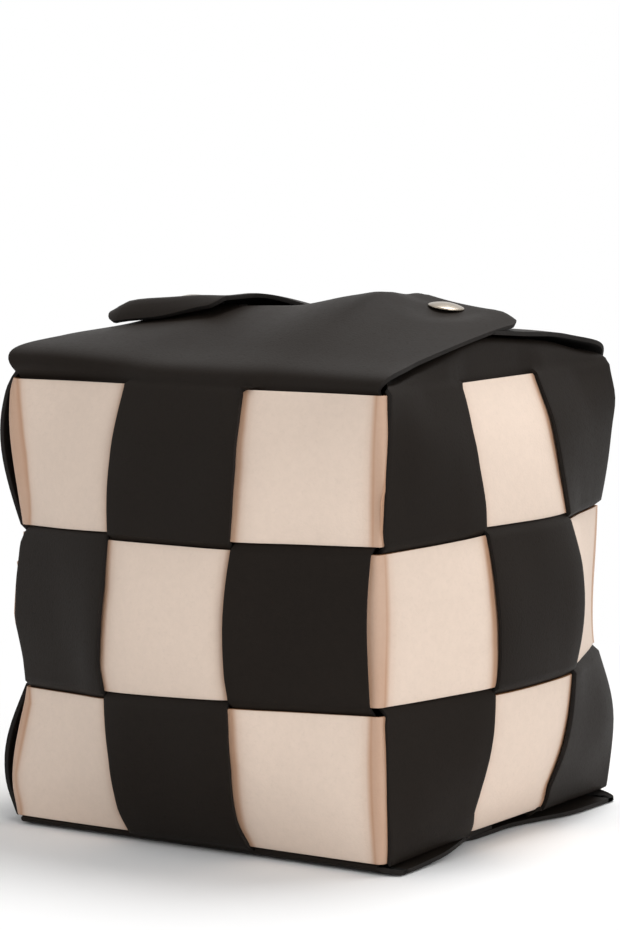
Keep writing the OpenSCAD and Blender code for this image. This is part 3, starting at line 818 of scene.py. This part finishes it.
def cream_leather(colours):
    """Grain with painted shade, flesh side and cut edge of the bands."""
    # The cut edges' brown doubles as the tint of the bands' painted shade
    return [grain_leather("Cream leather", tuple(colours.cream), 0.62, 0.3, 0.00007, 0.04,
                          tuple(colours.cream_edge)),
            flesh_leather("Cream leather flesh side", tuple(colours.cream_flesh)),
            cut_edge("Cream leather cut edge", tuple(colours.cream_edge), scaled(colours.cream_edge, 0.6))]


# Operators, one for each group of pieces
def settings(context):
    return context.scene.cover_sizes, context.scene.cover_colours


def bent(piece, face, start, end):
    """Bakes a piece's placement into its mesh; the piece does not bend. The two places, given for the front
    (mm), are turned to the face but not used further.
    """
    start, end = (turned(np.array(point, float), face) for point in (start, end))
    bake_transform(piece)


def cut_and_bend(name, places, cut, face, sizes, leather):
    """A piece of leather, drawn for the front and carried round to its own face."""
    piece = blank(name, turned(places, face), cut)
    return thicken(piece, sizes.leather_t, sizes.cut_round, leather)


class COVER_OT_end_panels(bpy.types.Operator):
    """Front and rear leather panels with their wide upper and lower flaps"""
    bl_idname = "cover.end_panels"
    bl_label = "Front and Rear Panels"

    def execute(self, context):
        sizes, colours = settings(context)
        leather = black_leather(colours)
        form = Form(sizes)
        for side, face in (("front", 0), ("rear", 2)):
            panel = cut_and_bend(f"{side}_panel", *end_panel_places(form, face), face, sizes, leather)
            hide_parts(f"{side}_wall", f"{side}_top_flap")
            bent(panel, face, (0, -61.5, 137.5), (0, -55.5, 143.5))
            flap = cut_and_bend(f"{side}_lower_flap", *bottom_flap_places(face), face, sizes, leather)
            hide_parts(f"{side}_bottom_flap")
            bent(flap, face, (0, -60.5, 0.65), (0, -56.5, 0.65))
        return {"FINISHED"}


class COVER_OT_side_panels(bpy.types.Operator):
    """Left and right leather panels with the short flaps that tuck in at both ends"""
    bl_idname = "cover.side_panels"
    bl_label = "Left and Right Panels"

    def execute(self, context):
        sizes, colours = settings(context)
        leather = black_leather(colours)
        form = Form(sizes)
        for side, face in (("right", 1), ("left", 3)):
            panel = cut_and_bend(f"{side}_panel", *side_panel_places(form, face), face, sizes, leather)
            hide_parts(f"{side}_wall", f"{side}_top_tuck")
            bent(panel, face, (0, -60.5, 137.5), (0, -58, 140))
            flap = cut_and_bend(f"{side}_lower_tuck", *bottom_tuck_places(), face, sizes, leather)
            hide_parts(f"{side}_bottom_tuck")
            bent(flap, face, (0, -59.8, 3.6), (0, -57, 3.6))
        return {"FINISHED"}


class COVER_OT_bands(bpy.types.Operator):
    """Three bands woven round through the strips of all four panels"""
    bl_idname = "cover.bands"
    bl_label = "Woven Bands"

    def execute(self, context):
        sizes, colours = settings(context)
        leather = cream_leather(colours)
        form = Form(sizes)
        for r, name in enumerate(("bottom_band", "middle_band", "top_band")):
            places, shade_share = band_places(form, r)
            band = blank(f"{name}_leather", places, ring=True, painted_shade=shade_share)
            thicken(band, sizes.leather_t, sizes.cut_round, leather)
            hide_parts(name)
            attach(band, "cover")
        return {"FINISHED"}


# Where the caps sit and the bodies that they ride on; the two at the rear are the front ones turned by half
SNAP_LEAN = math.atan(2 * DOME_DROP * SNAP_X / HALF ** 2)
HALF_TURN = Matrix.Rotation(math.pi, 4, "Z")
TOP_SEAT = (Matrix.Translation((SNAP_X * MM, SNAP_Y * MM, seat_z() * MM))
            @ Matrix.Rotation(SNAP_LEAN, 4, "Y"))
LOW_SEAT = (Matrix.Translation((-SNAP_X * MM, SNAP_Y * MM, (LEATHER / 2 + CAP_HEAD) * MM))
            @ Matrix.Rotation(math.pi, 4, "X"))
SNAP_SEATS = {
    "top_right": (TOP_SEAT, "front_top_flap"),
    "top_left": (HALF_TURN @ TOP_SEAT, "rear_top_flap"),
    "bottom_left": (LOW_SEAT, "front_bottom_flap"),
    "bottom_right": (HALF_TURN @ LOW_SEAT, "rear_bottom_flap"),
}
# Height of a cap's rim, how far it stands back from the cap's radius, and radius of the shank (mm)
RIM_H, RIM_BACK, SHANK_R = 0.45, 0.15, 1.6
# Steps of the dome from the rim to the top, as shares of the cap's radius
DOME_STEPS = (0.93, 0.84, 0.72, 0.58, 0.42, 0.25, 0.1)


def pick_end(mesh, z):
    """Selects the one face that lies flat at height z."""
    for face in mesh.polygons:
        face.select = abs(face.center.z - z) < 1e-6 and abs(face.normal.z) > 0.99


def push_down(depth_mm, widen=None):
    """Extrudes the picked end downward, and then makes it wider or narrower."""
    bpy.ops.mesh.extrude_region_move(TRANSFORM_OT_translate={"value": (0, 0, -depth_mm * MM)})
    if widen:
        bpy.ops.transform.resize(value=(widen, widen, 1))


def make_cap(name, cap_r, cap_h):
    """A domed cap with a rolled rim and the riveted shank under it, standing on z = leather / 2."""
    seat, rim, rim_r = LEATHER / 2 * MM, RIM_H * MM, cap_r - RIM_BACK * MM
    deselect()
    bpy.ops.mesh.primitive_cylinder_add(vertices=72, radius=rim_r, depth=rim, location=(0, 0, seat + rim / 2))
    cap = bpy.context.object
    cap.name = cap.data.name = name
    cap.data.transform(cap.matrix_world)
    cap.matrix_world = Matrix.Identity(4)
    bpy.ops.object.mode_set(mode="EDIT")
    bpy.ops.mesh.select_mode(type="FACE")
    bpy.ops.mesh.select_all(action="DESELECT")
    bpy.ops.object.mode_set(mode="OBJECT")
    pick_end(cap.data, seat + rim)
    bpy.ops.object.mode_set(mode="EDIT")
    ball_r = (cap_r ** 2 + (cap_h - rim) ** 2) / (2 * (cap_h - rim))
    r, z = rim_r, 0.0
    for share in DOME_STEPS:
        r_next = cap_r * share
        z_next = math.sqrt(ball_r ** 2 - r_next ** 2) - ball_r + cap_h - rim
        bpy.ops.mesh.inset(thickness=r - r_next, depth=z_next - z)
        r, z = r_next, z_next
    bpy.ops.mesh.select_all(action="DESELECT")
    bpy.ops.object.mode_set(mode="OBJECT")
    pick_end(cap.data, seat)
    bpy.ops.object.mode_set(mode="EDIT")
    bpy.ops.mesh.inset(thickness=rim_r - SHANK_R * MM, depth=0)
    push_down(LEATHER + 0.5)
    push_down(0.2, 1.5)
    push_down(0.15, 0.8)
    bpy.ops.object.mode_set(mode="OBJECT")
    edge = cap.modifiers.new("Rolled rim", "BEVEL")
    edge.width, edge.segments, edge.limit_method, edge.angle_limit = 0.16 * MM, 3, "ANGLE", math.radians(40)
    bpy.ops.object.modifier_apply(modifier=edge.name)
    bpy.ops.object.shade_smooth_by_angle(angle=math.radians(50))
    return cap


class COVER_OT_snaps(bpy.types.Operator):
    """Four snap fasteners: new caps, and plate for the sockets, studs and posts"""
    bl_idname = "cover.snaps"
    bl_label = "Snap Fasteners"

    def execute(self, context):
        sizes, colours = settings(context)
        nickel = plated("Satin nickel", tuple(colours.nickel))
        for end, (seat, body) in SNAP_SEATS.items():
            cap = make_cap(f"{end}_cap", sizes.cap_r, sizes.cap_h)
            cap.data.transform(seat)
            cap.data.materials.append(nickel)
            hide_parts(f"{end}_snap_cap")
            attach(cap, body)
            for part in ("socket", "stud", "post"):
                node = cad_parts[f"{end}_snap_{part}"]
                if not node.material_slots:
                    node.data.materials.append(nickel)
                for slot in node.material_slots:
                    slot.link = "OBJECT"
                    slot.material = nickel
        return {"FINISHED"}


# Studio: floor, lamps (size, power, place) and camera, in metres, watts and degrees
FLOOR_SIZE, FLOOR_Z, FLOOR_FADE = 12, -0.0004, (0.10, 0.34)
WORLD_LIGHT = 0.5
LAMPS = (("right lamp", 0.9, 8.2, (1.2, -0.6, 0.5)),
         ("left lamp", 1.2, 3.7, (-1.1, -1.3, 0.5)),
         ("top lamp", 0.8, 15.0, (0.1, 0.5, 1.4)))
LAMP_AIM = Vector((0, 0, 0.08))
LENS, SENSOR = 140.0, 36.0
AZIMUTH, ELEVATION, DISTANCE = 33.31, 6.39, 1.09493
AIM, AIM_RIGHT = Vector((0, 0, 0.10605)), -0.00163


def make_floor():
    """A pale floor that fades into the white surroundings; lamps light it only near the cover."""
    deselect()
    bpy.ops.mesh.primitive_plane_add(size=FLOOR_SIZE, location=(0, 0, FLOOR_Z))
    floor = bpy.context.object
    floor.name = "floor"
    f = Finish("Pale floor")
    away = f.node("ShaderNodeVectorMath", {"operation": "LENGTH"}, f.place, output="Value")
    path = f.node("ShaderNodeLightPath", output="Is Camera Ray")
    gloss = f.node("ShaderNodeLightPath", output="Is Glossy Ray")
    seen = path.maths("MAXIMUM", gloss)
    white = f.node("ShaderNodeEmission", None, Color=(1, 1, 1), Strength=1.0, output="Emission")
    f.surface(Base_Color=(0.9, 0.9, 0.9), Roughness=0.9, Specular_IOR_Level=0.0)
    both = f.node("ShaderNodeMixShader", None, seen * away.between(*FLOOR_FADE),
                  Socket(f, f.shader.outputs[0]), white, output="Shader")
    f.tree.links.new(both.output, f.out.inputs["Surface"])
    floor.data.materials.append(f.material)
    return floor


def make_world(scene):
    """White to the camera and in reflections, dimmer as a light."""
    world = bpy.data.worlds.new("White surroundings")
    scene.world = world
    world.use_nodes = True
    tree = world.node_tree
    tree.nodes.clear()
    rays = tree.nodes.new("ShaderNodeLightPath")
    seen = tree.nodes.new("ShaderNodeMath")
    seen.operation = "MAXIMUM"
    tree.links.new(rays.outputs["Is Camera Ray"], seen.inputs[0])
    tree.links.new(rays.outputs["Is Glossy Ray"], seen.inputs[1])
    strength = tree.nodes.new("ShaderNodeMapRange")
    strength.inputs["To Min"].default_value, strength.inputs["To Max"].default_value = WORLD_LIGHT, 1.0
    tree.links.new(seen.outputs[0], strength.inputs["Value"])
    light = tree.nodes.new("ShaderNodeBackground")
    light.inputs["Color"].default_value = (1, 1, 1, 1)
    tree.links.new(strength.outputs[0], light.inputs["Strength"])
    out = tree.nodes.new("ShaderNodeOutputWorld")
    tree.links.new(light.outputs[0], out.inputs["Surface"])


def make_lamps(scene):
    """Three soft round lamps that face the cover."""
    for name, size, power, spot in LAMPS:
        lamp = bpy.data.lights.new(name, "AREA")
        lamp.shape, lamp.size, lamp.energy = "DISK", size, power
        holder = bpy.data.objects.new(name, lamp)
        holder.location = spot
        holder.rotation_euler = (LAMP_AIM - Vector(spot)).to_track_quat("-Z", "Y").to_euler()
        scene.collection.objects.link(holder)


def make_camera(scene):
    """The camera that the photo was fitted with: it looks at a place a little to the left of the middle."""
    eye = bpy.data.cameras.new("camera")
    eye.lens, eye.sensor_width, eye.sensor_fit = LENS, SENSOR, "AUTO"
    camera = bpy.data.objects.new("camera", eye)
    turn, rise = math.radians(AZIMUTH), math.radians(ELEVATION)
    back = Vector((math.sin(turn) * math.cos(rise), -math.cos(turn) * math.cos(rise), math.sin(rise)))
    right = Vector((math.cos(turn), math.sin(turn), 0))
    camera.location = AIM + right * AIM_RIGHT + back * DISTANCE
    camera.rotation_euler = back.to_track_quat("Z", "Y").to_euler()
    scene.collection.objects.link(camera)
    scene.camera = camera


class COVER_OT_studio(bpy.types.Operator):
    """Pale floor, white surroundings, soft lamps and the camera"""
    bl_idname = "cover.studio"
    bl_label = "Plain Studio"

    def execute(self, context):
        scene = context.scene
        scene.view_settings.view_transform = "Standard"
        floor = make_floor()
        make_world(scene)
        make_lamps(scene)
        make_camera(scene)
        return {"FINISHED"}


class COVER_PT_panel(bpy.types.Panel):
    """Sizes, colours and makers of the woven cover"""
    bl_label = "Tissue Box Cover"
    bl_idname = "COVER_PT_panel"
    bl_space_type = "VIEW_3D"
    bl_region_type = "UI"
    bl_category = "Tissue Cover"

    def draw(self, context):
        sizes, colours = settings(context)
        for group in (sizes, colours):
            for name in group.bl_rna.properties.keys():
                if name not in ("rna_type", "name"):
                    self.layout.prop(group, name)
        for operator in MAKERS:
            self.layout.operator(operator.bl_idname)


MAKERS = (COVER_OT_studio, COVER_OT_end_panels, COVER_OT_side_panels, COVER_OT_bands, COVER_OT_snaps)
CLASSES = (CoverSizes, CoverColours, *MAKERS, COVER_PT_panel)


def register():
    for cls in CLASSES:
        bpy.utils.register_class(cls)
    bpy.types.Scene.cover_sizes = bpy.props.PointerProperty(type=CoverSizes)
    bpy.types.Scene.cover_colours = bpy.props.PointerProperty(type=CoverColours)


def unregister():
    del bpy.types.Scene.cover_colours
    del bpy.types.Scene.cover_sizes
    for cls in reversed(CLASSES):
        bpy.utils.unregister_class(cls)


def main():
    register()
    bpy.ops.cover.studio()
    bpy.ops.cover.end_panels()
    bpy.ops.cover.side_panels()
    bpy.ops.cover.bands()
    bpy.ops.cover.snaps()


if __name__ == "__main__":
    main()
